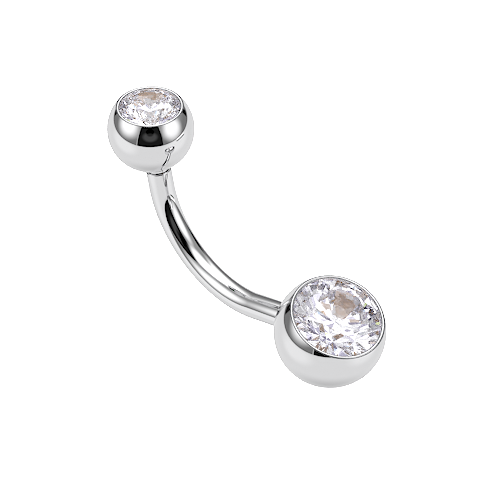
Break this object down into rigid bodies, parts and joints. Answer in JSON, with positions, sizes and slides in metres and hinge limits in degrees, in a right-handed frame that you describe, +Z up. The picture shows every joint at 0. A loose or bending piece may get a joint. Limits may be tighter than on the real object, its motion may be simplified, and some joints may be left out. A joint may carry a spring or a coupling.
{
  "type": "navel ring",
  "caption": "Curved belly barbell with a small screw-on gem ball at the top and a larger soldered gem ball at the bottom.",
  "frame": {"origin": "middle of the ring's box, on the surface it lies on", "axes": "+Z up from the surface it lies on; X along the line between the two balls, +X towards the small top ball; the stones face -Y and up"},
  "size_m": [0.023, 0.0092, 0.0068],
  "materials": {
    "polished_steel": "mirror-polished surgical steel",
    "clear_stone": "clear round brilliant, polished facets"
  },
  "bodies": {
    "barbell": {"bar_and_lower_ball": "polished_steel", "lower_stone": "clear_stone"},
    "screw_ball": {"top_ball": "polished_steel", "top_stone": "clear_stone"}
  },
  "joints": [
    {"name": "top_ball_off", "type": "slide", "parent": "barbell", "child": "screw_ball", "axis": [0.6065, -0.7475, 0.2711], "range_m": [0, 0.002]}
  ]
}
